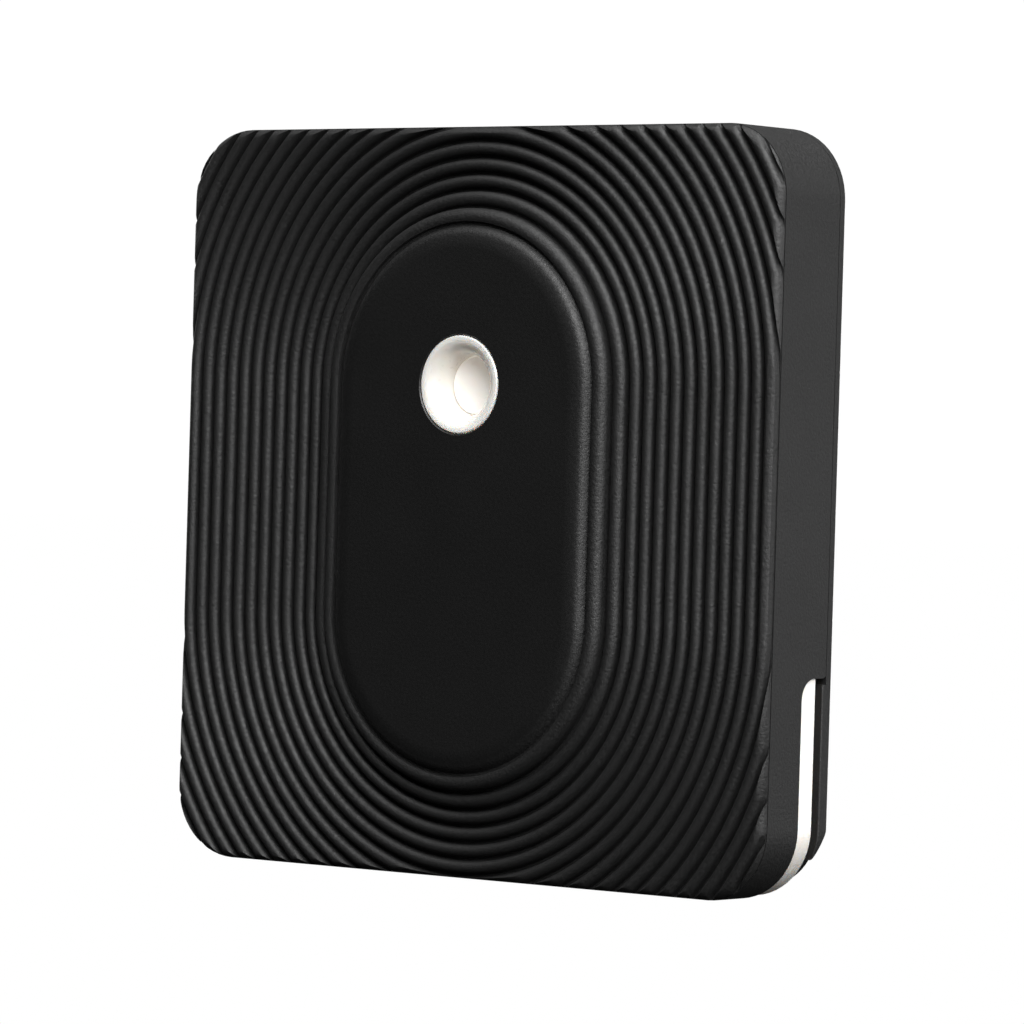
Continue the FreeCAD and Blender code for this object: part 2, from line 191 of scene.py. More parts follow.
def add(tree, kind, settings=None, values=None, links=None):
    """Adds one node with its settings, socket values and incoming links."""
    node = tree.nodes.new(kind)
    for name, value in (settings or {}).items():
        setattr(node, name, value)
    for socket, value in (values or {}).items():
        node.inputs[socket].default_value = value
    for socket, source in (links or {}).items():
        tree.links.new(source, node.inputs[socket])
    return node


def new_material(name):
    material = bpy.data.materials.new(name)
    material.use_nodes = True
    material.node_tree.nodes.clear()
    return material, material.node_tree


def finish_material(tree, shader):
    add(tree, "ShaderNodeOutputMaterial", links={"Surface": shader.outputs[0]})


def two_tone(tree, fac, low, high):
    """Colour that drifts between two hex shades with a noise."""
    tint = add(tree, "ShaderNodeValToRGB", links={"Fac": fac})
    for index, position, shade in ((0, 0.3, low), (1, 0.7, high)):
        tint.color_ramp.elements[index].position = position
        tint.color_ramp.elements[index].color = linear(shade)
    return tint


def grain(tree, place, size_mm, detail=3.0):
    """Noise whose grains are about one real size."""
    return add(tree, "ShaderNodeTexNoise", values={"Scale": 1 / (size_mm * MM), "Detail": detail,
               "Roughness": 0.6}, links={"Vector": place.outputs["Object"]})


black_shades = ("#0B0B0B", "#0F0F0F")
coarse_roughness = (0.52, 0.7)
fine_roughness = (0.42, 0.5)
spark_grain = 0.15
spark_depth = 0.035
finish_blend = 0.4


# Black ABS from a spark-eroded tool: a grain of 0.15 mm breaks its soft sheen into a fine speckle.
# Inside a stadium, given as (radius, top, bottom), it turns to a finer and shallower grain
def black_abs(name, stadium=(0.0, 0.0, 0.0)):
    material, tree = new_material(name)
    place = add(tree, "ShaderNodeTexCoord")
    pits = grain(tree, place, spark_grain)
    tint = two_tone(tree, grain(tree, place, 6.0, 2.0).outputs["Fac"], *black_shades)
    radius, top, bottom = stadium
    split = add(tree, "ShaderNodeSeparateXYZ", links={"Vector": place.outputs["Object"]})
    inside = add(tree, "ShaderNodeClamp", values={"Min": bottom * MM, "Max": top * MM},
                 links={"Value": split.outputs["Z"]})
    axis = add(tree, "ShaderNodeCombineXYZ", links={"Z": inside.outputs[0], "Y": split.outputs["Y"]})
    away = add(tree, "ShaderNodeVectorMath", settings={"operation": "DISTANCE"},
               links={0: place.outputs["Object"], 1: axis.outputs[0]})
    blend = {"From Min": (radius - finish_blend) * MM, "From Max": radius * MM}
    coarse = add(tree, "ShaderNodeMapRange", values=blend, links={"Value": away.outputs["Value"]})
    levels = []
    for low, high in (fine_roughness, coarse_roughness):
        spread = {"From Min": 0.3, "From Max": 0.7, "To Min": low, "To Max": high}
        levels.append(add(tree, "ShaderNodeMapRange", values=spread, links={"Value": pits.outputs["Fac"]}))
    rough = add(tree, "ShaderNodeMix", links={"Factor": coarse.outputs[0], 2: levels[0].outputs[0],
                                              3: levels[1].outputs[0]})
    deepest = spark_depth * MM
    depth = add(tree, "ShaderNodeMapRange", values={"To Min": deepest / 3, "To Max": deepest},
                links={"Value": coarse.outputs[0]})
    bump = add(tree, "ShaderNodeBump", values={"Strength": 1.0},
               links={"Height": pits.outputs["Fac"], "Distance": depth.outputs[0]})
    shader = add(tree, "ShaderNodeBsdfPrincipled", values={"IOR": 1.54}, links={
        "Base Color": tint.outputs["Color"], "Roughness": rough.outputs[0], "Normal": bump.outputs[0]})
    finish_material(tree, shader)
    return material


case_black = black_abs("black_abs_spark_eroded")
flange_thickness = 0.45
edge_soft = 0.12
cover_floor = 0.75
spigot_inset = 1.2
spigot_wall = 0.7
rail_height = 0.3
rail_gap = 0.5
lip_rear = 0.3
lip_thickness = 0.7
lip_soft = 0.08
lip_gap = 0.3
lip_overlap = 0.3
lip_end = 14.4
lip_slant = 1.9
pocket_inset = 0.55
pocket_depth = 0.8
pocket_reach = 30.0
tongue_inset = 1.38
tongue_thickness = 0.5
tongue_width = 4.0
tongue_top = 2.1
bump_reach = 0.25
bump_rear = 1.5
bump_front = 2.0

flange = round_off(case_plate(0, 0, flange_thickness), at_height(0), edge_soft, 4)
inside = [case_plate(spigot_inset, flange_thickness / 2, cover_floor)]
rail_run = 2 * (case_half - corner_radius)
for side in ("top", "bottom", "left", "right"):
    rail = bmesh.new()
    add_wall_block(rail, side, 0, rail_run, spigot_inset, spigot_inset + spigot_wall,
                   cover_floor - overlap, cover_floor + rail_height)
    inside.append(combine(rail, notch_block(-rail_gap, 0, 3), "DIFFERENCE"))
lip = round_off(case_plate(0, lip_rear, lip_thickness), at_height(lip_thickness), lip_soft, 3)
lip = combine(lip, notch_block(lip_gap, -1, notch_height), "INTERSECT")
lip = combine(lip, case_plate(spigot_inset + lip_overlap, -1, 2), "DIFFERENCE")
cover = combine(flange, gather(inside + [lip]), "UNION")
pocket = bmesh.new()
corners = [point(notch_end, -overlap, -lip_end), point(notch_end, pocket_depth, -lip_end - lip_slant),
           point(notch_end, pocket_depth, -pocket_reach), point(notch_end, -overlap, -pocket_reach)]
profile = pocket.faces.new([pocket.verts.new(corner) for corner in corners])
run = bmesh.ops.extrude_face_region(pocket, geom=[profile])["geom"]
bmesh.ops.translate(pocket, verts=only_verts(run), vec=(pocket_reach * MM, 0, 0))
bmesh.ops.recalc_face_normals(pocket, faces=pocket.faces)
pocket = combine(pocket, case_plate(pocket_inset, -1, 2), "DIFFERENCE")
cover = combine(cover, pocket, "DIFFERENCE")
tongues = bmesh.new()
for side, along in snap_places:
    add_wall_block(tongues, side, along, tongue_width, tongue_inset, tongue_inset + tongue_thickness,
                   cover_floor - overlap, tongue_top)
    add_wall_block(tongues, side, along, tongue_width, tongue_inset - bump_reach, tongue_inset + overlap,
                   bump_rear, bump_front)
cover = combine(cover, tongues, "UNION")
back_cover = make_piece("back_cover_moulding", cover, "back", case_black)
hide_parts("back_cover")

# ---- Coin cell
# A drawn steel can whose lip is turned in towards the smaller cap, which stands a little proud of it.
# Bright nickel plating with fine straight strokes; it lies in the round opening of the board.
cell_z = -5.9
cell_rear = 0.8
cell_front = 3.3
can_radius = 10.0
can_dish = 0.05
can_lip = 0.25
lip_drop = 0.2
gap_width = 0.15
gap_depth = 0.5
can_rounds = ((3, 0.3), (4, 0.25))
cap_radius = 8.7
cap_drop = 0.08
cap_rear = cell_front - 0.45
cap_rounds = ((3, 0.06),)


def lathe(profile, z, steps, rounds=()):
    """Turns a (radius, height) profile about the axis through x = 0; rounds are (index, radius) corners."""
    mesh = bmesh.new()
    verts = [mesh.verts.new(point(radius, height, z)) for radius, height in profile]
    for pair in zip(verts, verts[1:]):
        mesh.edges.new(pair)
    for index, radius in rounds:
        bmesh.ops.bevel(mesh, geom=[verts[index]], affect="VERTICES", offset=radius * MM,
                        offset_type="OFFSET", segments=4, profile=0.5, material=-1)
    bmesh.ops.spin(mesh, geom=mesh.verts[:] + mesh.edges[:], cent=point(0, 0, z), axis=(0, 1, 0),
                   angle=2 * math.pi, steps=steps, use_merge=True)
    bmesh.ops.remove_doubles(mesh, verts=mesh.verts, dist=touching)
    bmesh.ops.recalc_face_normals(mesh, faces=mesh.faces)
    return mesh


# Plated steel, copper or sheet: fine strokes, long where the pattern is stretched, draw out its highlights
def plated_metal(name, shades, roughness, stretch, stroke_mm):
    material, tree = new_material(name)
    place = add(tree, "ShaderNodeTexCoord")
    stretched = add(tree, "ShaderNodeMapping", values={"Scale": stretch},
                    links={"Vector": place.outputs["Object"]})
    strokes = add(tree, "ShaderNodeTexNoise", values={"Scale": 1 / (stroke_mm * MM), "Detail": 3.0},
                  links={"Vector": stretched.outputs["Vector"]})
    tint = two_tone(tree, strokes.outputs["Fac"], *shades)
    rough = add(tree, "ShaderNodeMapRange", values={"To Min": roughness[0], "To Max": roughness[1]},
                links={"Value": strokes.outputs["Fac"]})
    bump = add(tree, "ShaderNodeBump", values={"Strength": 0.5, "Distance": 0.002 * MM},
               links={"Height": strokes.outputs["Fac"]})
    shader = add(tree, "ShaderNodeBsdfPrincipled", values={"Metallic": 1.0}, links={
        "Base Color": tint.outputs["Color"], "Roughness": rough.outputs[0], "Normal": bump.outputs[0]})
    finish_material(tree, shader)
    return material


cell_nickel = plated_metal("nickel_plated_steel_drawn", ("#B9B7B2", "#CFCDC8"), (0.22, 0.38),
                           (1.0, 1.0, 0.06), 0.08)
can_profile = [(0, cell_rear + can_dish), (8.2, cell_rear + can_dish), (8.5, cell_rear),
               (can_radius, cell_rear), (can_radius, cell_front - can_lip),
               (cap_radius + can_lip, cell_front - lip_drop),
               (cap_radius + gap_width, cell_front - gap_depth), (0, cell_front - gap_depth)]
can = make_piece("cell_can", lathe(can_profile, cell_z, 72, can_rounds), "cell", cell_nickel)
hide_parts("battery_can")
cap_profile = [(0, cell_front), (7.6, cell_front), (7.7, cell_front - can_dish),
               (cap_radius, cell_front - cap_drop), (cap_radius, cap_rear), (0, cap_rear)]
cap = make_piece("cell_cap", lathe(cap_profile, cell_z, 72, cap_rounds), "cell", cell_nickel)
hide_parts("battery_cap")

# ---- Circuit board
# A glass-fibre laminate arch round the cell, both faces under a green solder mask, its edges routed bare.
# The copper tracks show as slightly raised, paler lines under the mask.


def dress(node_name, material):
    """Gives one CAD node a material in every slot."""
    mesh = nodes[node_name].data
    mesh.materials.clear()
    mesh.materials.append(material)


pattern_unit = 4.8


# Glass-fibre laminate: mask over tracks 0.2 mm wide, in rows 0.6 mm apart, on its faces; cut glass and
# resin at its edges. The widths of the track pattern are parts of one unit in mm
def masked_laminate(name):
    material, tree = new_material(name)
    place = add(tree, "ShaderNodeTexCoord")
    laid = add(tree, "ShaderNodeMapping", values={"Rotation": (math.pi / 2, 0, 0)},
               links={"Vector": place.outputs["Object"]})
    tracks = add(tree, "ShaderNodeTexBrick", settings={"offset": 0.37, "squash": 0.6, "squash_frequency": 3},
                 values={"Scale": 1 / (pattern_unit * MM), "Brick Width": 2.3, "Row Height": 0.13,
                         "Mortar Size": 0.02, "Mortar Smooth": 0.1},
                 links={"Vector": laid.outputs["Vector"]})
    kept = add(tree, "ShaderNodeMath", settings={"operation": "GREATER_THAN"}, values={1: 0.47},
               links={0: grain(tree, place, 3.0, 1.0).outputs["Fac"]})
    raised = add(tree, "ShaderNodeMath", settings={"operation": "MULTIPLY"},
                 links={0: tracks.outputs["Fac"], 1: kept.outputs[0]})
    mask = add(tree, "ShaderNodeMix", settings={"data_type": "RGBA"}, links={0: raised.outputs[0]})
    mask.inputs[6].default_value = linear("#12351F")
    mask.inputs[7].default_value = linear("#1F5A33")
    shape = add(tree, "ShaderNodeNewGeometry")
    split = add(tree, "ShaderNodeSeparateXYZ", links={"Vector": shape.outputs["Normal"]})
    facing = add(tree, "ShaderNodeMath", settings={"operation": "ABSOLUTE"}, links={0: split.outputs["Y"]})
    flat = add(tree, "ShaderNodeMath", settings={"operation": "GREATER_THAN"}, values={1: 0.7},
               links={0: facing.outputs[0]})
    glass = two_tone(tree, grain(tree, place, 0.15).outputs["Fac"], "#8B7F4E", "#B7AB76")
    colour = add(tree, "ShaderNodeMix", settings={"data_type": "RGBA"}, links={
        0: flat.outputs[0], 6: glass.outputs["Color"], 7: mask.outputs[2]})
    rough = add(tree, "ShaderNodeMapRange", values={"To Min": 0.6, "To Max": 0.3},
                links={"Value": flat.outputs[0]})
    bump = add(tree, "ShaderNodeBump", values={"Strength": 0.8, "Distance": 0.02 * MM},
               links={"Height": raised.outputs[0]})
    shader = add(tree, "ShaderNodeBsdfPrincipled", values={"IOR": 1.52}, links={
        "Base Color": colour.outputs[2], "Roughness": rough.outputs[0], "Normal": bump.outputs[0]})
    finish_material(tree, shader)
    return material


dress("circuit_board", masked_laminate("glass_fibre_laminate_solder_mask"))

# ---- Programming pads
# Gilded copper lands on the rear of the board, where a fixture's pins touch them to load the program.
# Immersion gold: warm, even and slightly matte from the etched copper below.
pad_gold = plated_metal("immersion_gold_on_copper", ("#C79A3E", "#DDB45C"), (0.28, 0.42),
                        (1.0, 1.0, 1.0), 0.05)
dress("programming_pads", pad_gold)

# ---- Chips and crystals
# Radio chip and sensor in moulded black epoxy, two crystals under welded nickel lids, all soldered flat.
# The epoxy is dull from its tool and bears no print; a port in the sensor's top lets the air in.


# Moulded, cast or fired small part: a dull to glossy body with grains of 0.06 mm
def small_part_body(name, shades, roughness):
    material, tree = new_material(name)
    place = add(tree, "ShaderNodeTexCoord")
    filler = grain(tree, place, 0.06)
    tint = two_tone(tree, filler.outputs["Fac"], *shades)
    rough = add(tree, "ShaderNodeMapRange", values={"To Min": roughness[0], "To Max": roughness[1]},
                links={"Value": filler.outputs["Fac"]})
    bump = add(tree, "ShaderNodeBump", values={"Strength": 0.6, "Distance": 0.004 * MM},
               links={"Height": filler.outputs["Fac"]})
    shader = add(tree, "ShaderNodeBsdfPrincipled", values={"IOR": 1.55}, links={
        "Base Color": tint.outputs["Color"], "Roughness": rough.outputs[0], "Normal": bump.outputs[0]})
    finish_material(tree, shader)
    return material


chip_epoxy = small_part_body("moulded_epoxy", ("#17181A", "#242528"), (0.5, 0.7))
for name in ("radio_chip", "humidity_sensor"):
    dress(name, chip_epoxy)
lid_nickel = plated_metal("nickel_lid_welded", ("#C2BFB8", "#D8D6D0"), (0.25, 0.4), (1.0, 1.0, 0.1), 0.05)
for name in ("main_crystal", "watch_crystal"):
    dress(name, lid_nickel)

# ---- Small parts on the board
# Ceramic aerial, capacitors and glazed resistors, and the light-emitting diode in clear resin.
# They are fired or cast blocks a millimetre or so long, held by solder.
dress("chip_antenna", small_part_body("fired_white_ceramic", ("#D9D6CC", "#E6E3DA"), (0.4, 0.55)))
dress("chip_capacitors", small_part_body("fired_tan_ceramic", ("#A58B66", "#B79C76"), (0.35, 0.5)))
dress("chip_resistors", small_part_body("glazed_resistor_film", ("#1B1B1E", "#2A2A2E"), (0.25, 0.4)))
dress("status_led", small_part_body("cast_clear_resin_lens", ("#E2DFAF", "#EFECC6"), (0.1, 0.2)))

# ---- Battery contacts
# A curved leaf at the side of the can and a strip that presses on the cap, stamped from spring steel.
# Nickel-plated, with the faint lengthwise lines of the rolled strip.
spring_steel = plated_metal("nickel_plated_spring_strip", ("#B4B0A6", "#CBC8BF"), (0.2, 0.35),
                            (0.08, 1.0, 1.0), 0.06)
for name in ("battery_positive_clip", "battery_negative_spring"):
    dress(name, spring_steel)

# ---- Tact switch
# A black nylon body with a round plunger in its well, held down by a thin stamped steel cover.
# The plunger is a lighter acetal so that it slides in the nylon.
dress("tact_switch_body", small_part_body("moulded_black_nylon", ("#101112", "#1C1D1F"), (0.45, 0.6)))
dress("tact_switch_cover", plated_metal("stainless_sheet_stamped", ("#B7B5B0", "#CCCAC6"), (0.25, 0.4),
                                        (0.1, 1.0, 1.0), 0.05))
dress("tact_switch_plunger", small_part_body("moulded_acetal", ("#2A2320", "#3A312C"), (0.3, 0.45)))

# ---- Inner frame
# White translucent polycarbonate in one moulding: web, skirt, the band in the notch and the funnel.
# Its polished tool leaves it smooth; a faint painted glow in its colour brightens the whole moulding evenly.
web_rear = 3.55
inner_face = 4.05
skirt_rear = 1.1
skirt_inset = 1.15
skirt_face = 1.95
hole_z = 5.62
plate_height = 6.0
neck_radius = 2.35
bore_radius = 1.45
well_radius = 2.0
well_top = 4.5
mouth_depth = 1.1
mouth_rim = 0.15
mouth_soft = 0.06
opening_radius = 10.4
through_web = (3, 5)
snap_slot_slack = 0.4
snap_slot_near = 1.0
snap_slot_front = 2.3
band_inset = 0.1
band_gap = 0.03
band_front = 2.32
band_soft = 0.1
stop_sink = 0.05
board_stops = (11.5, -11.5)
board_stop_length = 1.5
board_stop_reach = 2.75
board_stop_rear = 2.4
foot_length = 3.0
foot_reach = 2.4
foot_front = 1.6


# Polycarbonate, tool-polished: light enters it a little way, so its shadows are soft and warm
def white_polycarbonate(name, shades, painted_glow):
    material, tree = new_material(name)
    place = add(tree, "ShaderNodeTexCoord")
    tint = two_tone(tree, grain(tree, place, 2.5, 2.0).outputs["Fac"], *shades)
    fine = grain(tree, place, 0.25, 2.0)
    rough = add(tree, "ShaderNodeMapRange", values={"To Min": 0.24, "To Max": 0.34},
                links={"Value": fine.outputs["Fac"]})
    bump = add(tree, "ShaderNodeBump", values={"Strength": 0.4, "Distance": 0.003 * MM},
               links={"Height": fine.outputs["Fac"]})
    # The emission is a painted glow of warm white that brightens the part evenly; no lamp lights it
    shader = add(tree, "ShaderNodeBsdfPrincipled", values={
        "IOR": 1.58, "Subsurface Weight": 0.5, "Subsurface Radius": (0.0012, 0.0009, 0.0007),
        "Subsurface Scale": 0.6, "Emission Color": linear("#FFF6EA"), "Emission Strength": painted_glow}, links={
        "Base Color": tint.outputs["Color"], "Roughness": rough.outputs[0], "Normal": bump.outputs[0]})
    finish_material(tree, shader)
    return material


def round_cut(radius, span, z, steps):
    """Closed disc that cuts a round hole through a (low, high) span of heights."""
    low, high = span
    return lathe([(0, low), (radius, low), (radius, high), (0, high)], z, steps)


# The frame carries a faint painted glow of 0.03
frame_white = white_polycarbonate("white_polycarbonate_polished_painted_glow", ("#DAD6D0", "#E3E0DB"), 0.03)
cuts = [case_plate(skirt_face, skirt_rear - 1, web_rear)]
slots = bmesh.new()
for side, along in snap_places:
    add_wall_block(slots, side, along, tongue_width + snap_slot_slack, snap_slot_near, skirt_face + overlap,
                   0, snap_slot_front)
cuts.append(slots)
cuts.append(round_cut(opening_radius, through_web, cell_z, 96))
cuts.append(round_cut(well_radius, through_web, hole_z, 64))
moulding = combine(case_plate(skirt_inset, skirt_rear, inner_face), gather(cuts), "DIFFERENCE")
band = round_off(case_plate(band_inset, skirt_rear, band_front), at_height(skirt_rear), band_soft, 3)
band = combine(band, notch_block(band_gap, 0, band_front), "INTERSECT")
band = combine(band, case_plate(skirt_face, 0, 3), "DIFFERENCE")
stops = bmesh.new()
for side in ("left", "right"):
    for along in board_stops:
        add_wall_block(stops, side, along, board_stop_length, skirt_face - stop_sink, board_stop_reach,
                       board_stop_rear, web_rear + stop_sink)
for side in ("left", "right", "top"):
    add_wall_block(stops, side, 0, foot_length, skirt_face - stop_sink, foot_reach, skirt_rear, foot_front)
mouth_radius = neck_radius - mouth_rim
funnel = bmesh.new()
lip_start = funnel.verts.new(point(mouth_radius, plate_height, hole_z))
bmesh.ops.spin(funnel, geom=[lip_start], cent=point(mouth_radius, plate_height - mouth_depth, hole_z),
               axis=(0, 0, 1), angle=math.pi / 2, steps=14)
narrowing = (mouth_radius - bore_radius) / mouth_depth
funnel.verts.ensure_lookup_table()
for vert in funnel.verts:
    vert.co.x = mouth_radius * MM - abs(vert.co.x - mouth_radius * MM) * narrowing
ends = sorted(funnel.verts, key=lambda one: -one.co.x)
mouth_end = ends[-1]
tail = [funnel.verts.new(point(radius, height, hole_z)) for radius, height in
        ((bore_radius, well_top), (well_radius, well_top), (well_radius, web_rear), (neck_radius, web_rear),
         (neck_radius, plate_height - mouth_soft), (neck_radius - mouth_soft, plate_height))]
for pair in zip([mouth_end] + tail, tail + [ends[0]]):
    funnel.edges.new(pair)
bmesh.ops.spin(funnel, geom=funnel.verts[:] + funnel.edges[:], cent=point(0, 0, hole_z), axis=(0, 1, 0),
               angle=2 * math.pi, steps=72, use_merge=True)
bmesh.ops.remove_doubles(funnel, verts=funnel.verts, dist=touching)
bmesh.ops.recalc_face_normals(funnel, faces=funnel.faces)
moulding = combine(moulding, gather([band, stops, funnel]), "UNION")
inner_frame = make_piece("light_guide_moulding", moulding, "case", frame_white)
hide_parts("light_guide_frame")

# ---- Button
# A white disc deep in the funnel, with a flange behind the bore and a stem that reaches the switch.
# Moulded from the frame's polycarbonate, its front edge slightly rounded; a painted glow makes it brighter
# than the frame.
button_face = 4.7
button_seat = 4.45
button_rear = 4.1
button_radius = 1.4
flange_radius = 1.9
stem_radius = 0.6
stem_end = 3.25
button_rounds = ((1, 0.12), (3, 0.06), (6, 0.08))
button_profile = [(0, button_face), (button_radius, button_face), (button_radius, button_seat),
                  (flange_radius, button_seat), (flange_radius, button_rear), (stem_radius, button_rear),
                  (stem_radius, stem_end), (0, stem_end)]
# The disc's stronger painted glow of 0.22 brightens it evenly; no lamp lights it
button_white = white_polycarbonate("white_polycarbonate_painted_glow", ("#F4F1EC", "#FAF8F5"), 0.22)
button = make_piece("button_disc", lathe(button_profile, hole_z, 72, button_rounds), "button", button_white)
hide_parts("control_button")

# ---- Front cover
# One black ABS moulding: the smooth stadium plate, the rings of half-round ridges that fall away from it
# in a shallow swell and run out in the rounded edge, and the walls with the pry notch at one corner.
arc_span = hole_z
lower_span = 5.34
plate_half_width = 6.5
plate_bend = 2.45
plate_turn = 0.3
brow_bend = 0.55
brow_turn = 0.8
first_groove = 7.7
field_height = 4.75
swell_radius = 3.8
swell_end = 10.1
swell_pitch = 0.83
bead_pitch = 0.785
bead_rise = 0.35
ridge_foot = 0.07
slot_width = 0.22
slot_sink = 0.1
slot_floor = 0.14
profile_weld = 5e-9
ring_weld = 2e-6
dish_start = 12.0
dish_radius = 125.0
lift_margin = 0.1
rim_height = field_height + bead_rise
rim_spare = 0.01
edge_round = 0.55
edge_overlap = 0.02
rear_soft = 0.06
slit_reach = 0.18
plate_rear = 5.1
recess_half_width = 5.2
recess_half_length = 9.5
snap_pocket_slack = 0.2
snap_pocket_depth = 0.3
snap_pocket_rear = 1.4
snap_pocket_front = 2.2
hole_radius = 2.38
hole_chamfer = 0.1
line_height = 4.78
line_half_width = 0.03
line_depth = 0.07
plate_finish_end = first_groove - 0.2


def groove_points():
    """(radius, height) of every groove, from the plate out past the farthest corner."""
    radius = first_groove
    points = []
    while radius < math.hypot(case_half, case_half - lower_span) + bead_pitch:
        reach = max(0.0, swell_end - radius)
        rise = swell_radius - math.sqrt(swell_radius ** 2 - reach ** 2)
        points.append((radius, field_height + rise))
        radius += swell_pitch if radius + swell_pitch / 2 < swell_end - bead_pitch else bead_pitch
    return points


def profile_arc(mesh, start, centre, angle, steps):
    """Spins one vertex of the profile about a centre, both given as (radius, height) in mm."""
    first = mesh.verts.new(point(*start, arc_span))
    bmesh.ops.spin(mesh, geom=[first], cent=point(*centre, arc_span), axis=(0, 0, 1),
                   angle=angle, steps=steps)


def bead_arc(mesh, inner, outer):
    """Half-round ridge between two slots, on short straight feet."""
    start, end = [(groove[0] + side * slot_width / 2, groove[1] + ridge_foot)
                  for groove, side in ((inner, 1), (outer, -1))]
    rise = bead_rise - ridge_foot
    drop = start[1] - end[1]
    run = end[0] - start[0]
    chord = math.hypot(drop, run)
    bend = (chord ** 2 / 4 + rise ** 2) / (2 * rise)
    sink = bend - rise
    centre = ((start[0] + end[0]) / 2 - sink * drop / chord, (start[1] + end[1]) / 2 - sink * run / chord)
    profile_arc(mesh, start, centre, 2 * math.acos(sink / bend), 10)
    return start, end


def profile_line(mesh, places):
    """Straight edges of the profile through several (radius, height) places."""
    verts = [mesh.verts.new(point(*place, arc_span)) for place in places]
    for pair in zip(verts, verts[1:]):
        mesh.edges.new(pair)


def only_edges(geometry):
    return [one for one in geometry if isinstance(one, bmesh.types.BMEdge)]


relief = bmesh.new()
grooves = groove_points()
profile_arc(relief, (plate_half_width, plate_height), (plate_half_width, plate_height - plate_bend),
            plate_turn, 5)
slope_end = (plate_half_width + plate_bend * math.sin(plate_turn),
             plate_height - plate_bend * (1 - math.cos(plate_turn)))
profile_arc(relief, slope_end, (slope_end[0] - brow_bend * math.sin(plate_turn),
                                slope_end[1] - brow_bend * math.cos(plate_turn)), brow_turn, 8)
brow_end = (slope_end[0] + brow_bend * (math.sin(plate_turn + brow_turn) - math.sin(plate_turn)),
            slope_end[1] - brow_bend * (math.cos(plate_turn) - math.cos(plate_turn + brow_turn)))
profile_line(relief, [(0, plate_height), (plate_half_width, plate_height)])
ridge_end = brow_end
for inner, outer in zip(grooves, grooves[1:]):
    start, end = bead_arc(relief, inner, outer)
    floor_height = inner[1] - slot_sink
    profile_line(relief, [ridge_end, (inner[0] - slot_floor / 2, floor_height),
                          (inner[0] + slot_floor / 2, floor_height), start])
    ridge_end = end
profile_line(relief, [ridge_end, (ridge_end[0], 0), (0, 0)])
bmesh.ops.remove_doubles(relief, verts=relief.verts, dist=profile_weld)
edge = relief.verts[:] + relief.edges[:]
for z, step in ((arc_span, -arc_span - lower_span), (-lower_span, arc_span + lower_span)):
    turned = bmesh.ops.spin(relief, geom=edge, cent=(0, 0, z * MM), axis=(0, -1, 0), angle=math.pi, steps=90)
    run = bmesh.ops.extrude_edge_only(relief, edges=only_edges(turned["geom_last"]))["geom"]
    bmesh.ops.translate(relief, verts=only_verts(run), vec=(0, 0, step * MM))
    edge = only_verts(run) + only_edges(run)
bmesh.ops.remove_doubles(relief, verts=relief.verts, dist=ring_weld)
bmesh.ops.dissolve_degenerate(relief, edges=relief.edges, dist=touching)
bmesh.ops.recalc_face_normals(relief, faces=relief.faces)


def lift_sides(mesh, above):
    """Curves the face gently forwards towards the case's two sides."""
    for vert in mesh.verts:
        if vert.co.y < -above * MM:
            vert.co.y -= max(0.0, abs(vert.co.x) - dish_start * MM) ** 2 / (2 * dish_radius * MM)
    return mesh


relief = lift_sides(relief, lift_margin)
rim_top = rim_height + rim_spare
outside = round_off(case_plate(0, flange_thickness, rim_top), at_height(rim_top), edge_round, 8)
outside = round_off(outside, at_height(flange_thickness), rear_soft, 3)
outside = lift_sides(outside, rim_height - edge_round - lift_margin)
outside = combine(outside, case_plate(edge_round + edge_overlap, 1, plate_height + 1), "UNION")
relief = combine(relief, outside, "INTERSECT")
hollow = [case_plate(wall, 0, inner_face), notch_block(0, -1, notch_height),
          notch_block(-slit_reach, -1, skirt_rear)]
recess = bmesh.new()
add_block(recess, (-recess_half_width, recess_half_width), (inner_face - 1, plate_rear),
          (-recess_half_length, recess_half_length))
for side, along in snap_places:
    add_wall_block(recess, side, along, tongue_width + snap_pocket_slack, wall - snap_pocket_depth,
                   wall + overlap, snap_pocket_rear, snap_pocket_front)
hollow.append(recess)
hole_top = plate_height + hole_chamfer / 2
hollow.append(lathe([(0, 1), (hole_radius, 1), (hole_radius, plate_height - hole_chamfer / 2),
                     (hole_radius + hole_chamfer, hole_top), (0, hole_top)], hole_z, 96))
relief = combine(relief, gather(hollow), "DIFFERENCE")
line_ring = combine(case_plate(-0.5, line_height - line_half_width, line_height + line_half_width),
                    case_plate(line_depth, line_height - 1, line_height + 1), "DIFFERENCE")
relief = combine(relief, line_ring, "DIFFERENCE")
plate_black = black_abs("black_abs_finer_plate", (plate_finish_end, arc_span, -lower_span))
front_cover = make_piece("front_cover_moulding", relief, "case", plate_black)
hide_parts("front_cover")

# ---- Studio
# Plain white floor and backdrop. The key stands at the camera's side and a little above it, the side and
# top boxes light the right-hand wall and the upper edges, and four weak ones open the shadows.
floor_place = Vector((0, 0, -0.0181))
backdrop_place = Vector((-0.745, 0.941, 0.5))
backdrop_azimuth = 38.36
box_distance = 0.6


def stage_plane(name, size, place, turn, strength):
    """White plane that glows evenly and casts no light on the object."""
    mesh = bmesh.new()
    bmesh.ops.create_grid(mesh, x_segments=1, y_segments=1, size=size / 2)
    bmesh.ops.transform(mesh, matrix=Matrix.Translation(place) @ turn, verts=mesh.verts)
    data = bpy.data.meshes.new(name)
    mesh.to_mesh(data)
    mesh.free()
    piece = bpy.data.objects.new(name, data)
    bpy.context.scene.collection.objects.link(piece)
    material, tree = new_material(name)
    shader = add(tree, "ShaderNodeEmission", values={"Color": linear("#FFFFFF"), "Strength": strength})
    finish_material(tree, shader)
    data.materials.append(material)
    piece.visible_diffuse = False
    piece.visible_glossy = False


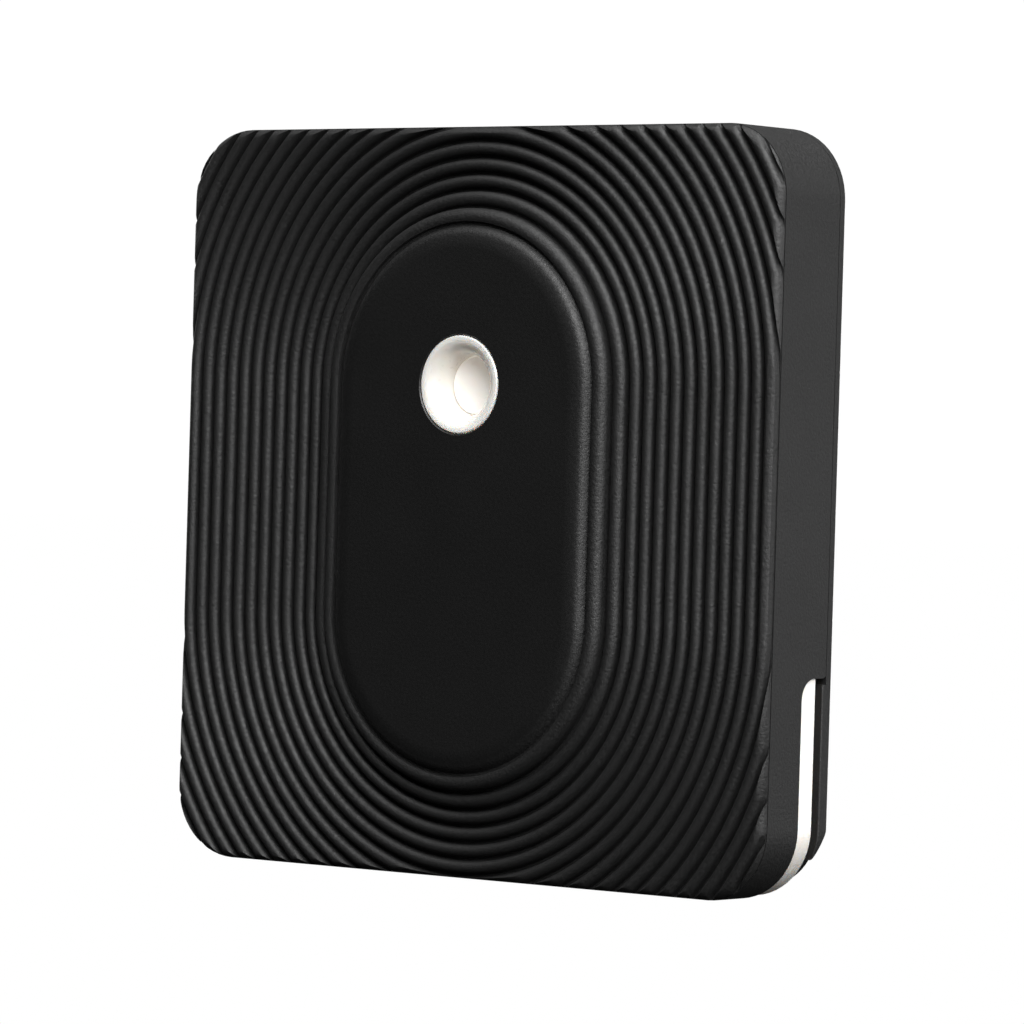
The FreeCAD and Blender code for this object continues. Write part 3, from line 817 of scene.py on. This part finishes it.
stage_plane("floor", 4.0, floor_place, Matrix.Identity(4), 1.0)
upright = Matrix.Rotation(math.radians(90), 4, "X")
backdrop_turn = Matrix.Rotation(math.radians(backdrop_azimuth), 4, "Z") @ upright
stage_plane("backdrop", 6.0, backdrop_place, backdrop_turn, 1.02)

world = bpy.data.worlds.new("studio_air")
world.use_nodes = True
world.node_tree.nodes["Background"].inputs["Color"].default_value = (1.0, 1.0, 1.0, 1.0)
world.node_tree.nodes["Background"].inputs["Strength"].default_value = 0.02
bpy.context.scene.world = world


def soft_box(name, azimuth, elevation, size, power):
    """Square area light that looks at the object from one direction, in degrees, metres and watts."""
    data = bpy.data.lights.new(name, "AREA")
    data.shape = "SQUARE"
    data.size = size
    data.energy = power
    flat = math.cos(math.radians(elevation))
    towards = Vector((flat * math.sin(math.radians(azimuth)), -flat * math.cos(math.radians(azimuth)),
                      math.sin(math.radians(elevation))))
    lamp = bpy.data.objects.new(name, data)
    lamp.location = towards * box_distance
    lamp.rotation_euler = towards.to_track_quat("Z", "Y").to_euler()
    bpy.context.scene.collection.objects.link(lamp)


soft_box("key_softbox", 50, 32, 0.3, 4.6)
soft_box("top_softbox", 90, 70, 0.3, 3.5)
soft_box("side_softbox", 80, 20, 0.4, 2.5)
soft_box("rim_softbox", 140, 5, 0.3, 0.45)
soft_box("fill_softbox", -15, 62, 0.4, 1.6)
soft_box("left_softbox", -105, 15, 0.3, 0.45)
soft_box("rear_softbox", 194, 5, 0.12, 1.6)

camera_data = bpy.data.cameras.new("photo_camera")
camera_data.sensor_fit = "HORIZONTAL"
camera_data.sensor_width = 36.0
camera_data.lens = 199.43
camera_data.clip_start = 0.01
camera_data.clip_end = 20.0
camera = bpy.data.objects.new("photo_camera", camera_data)
right = Vector((0.7836106, 0.62053928, 0.02975637))
up = Vector((-0.03048678, -0.00942962, 0.99949069))
back = Vector((0.62050382, -0.78411867, 0.01152909))
turn = Matrix((right, up, back)).transposed().to_4x4()
camera.matrix_world = Matrix.Translation((0.16996, -0.21638, 0.002737)) @ turn
bpy.context.scene.collection.objects.link(camera)
bpy.context.scene.camera = camera
bpy.context.scene.view_settings.view_transform = "Standard"
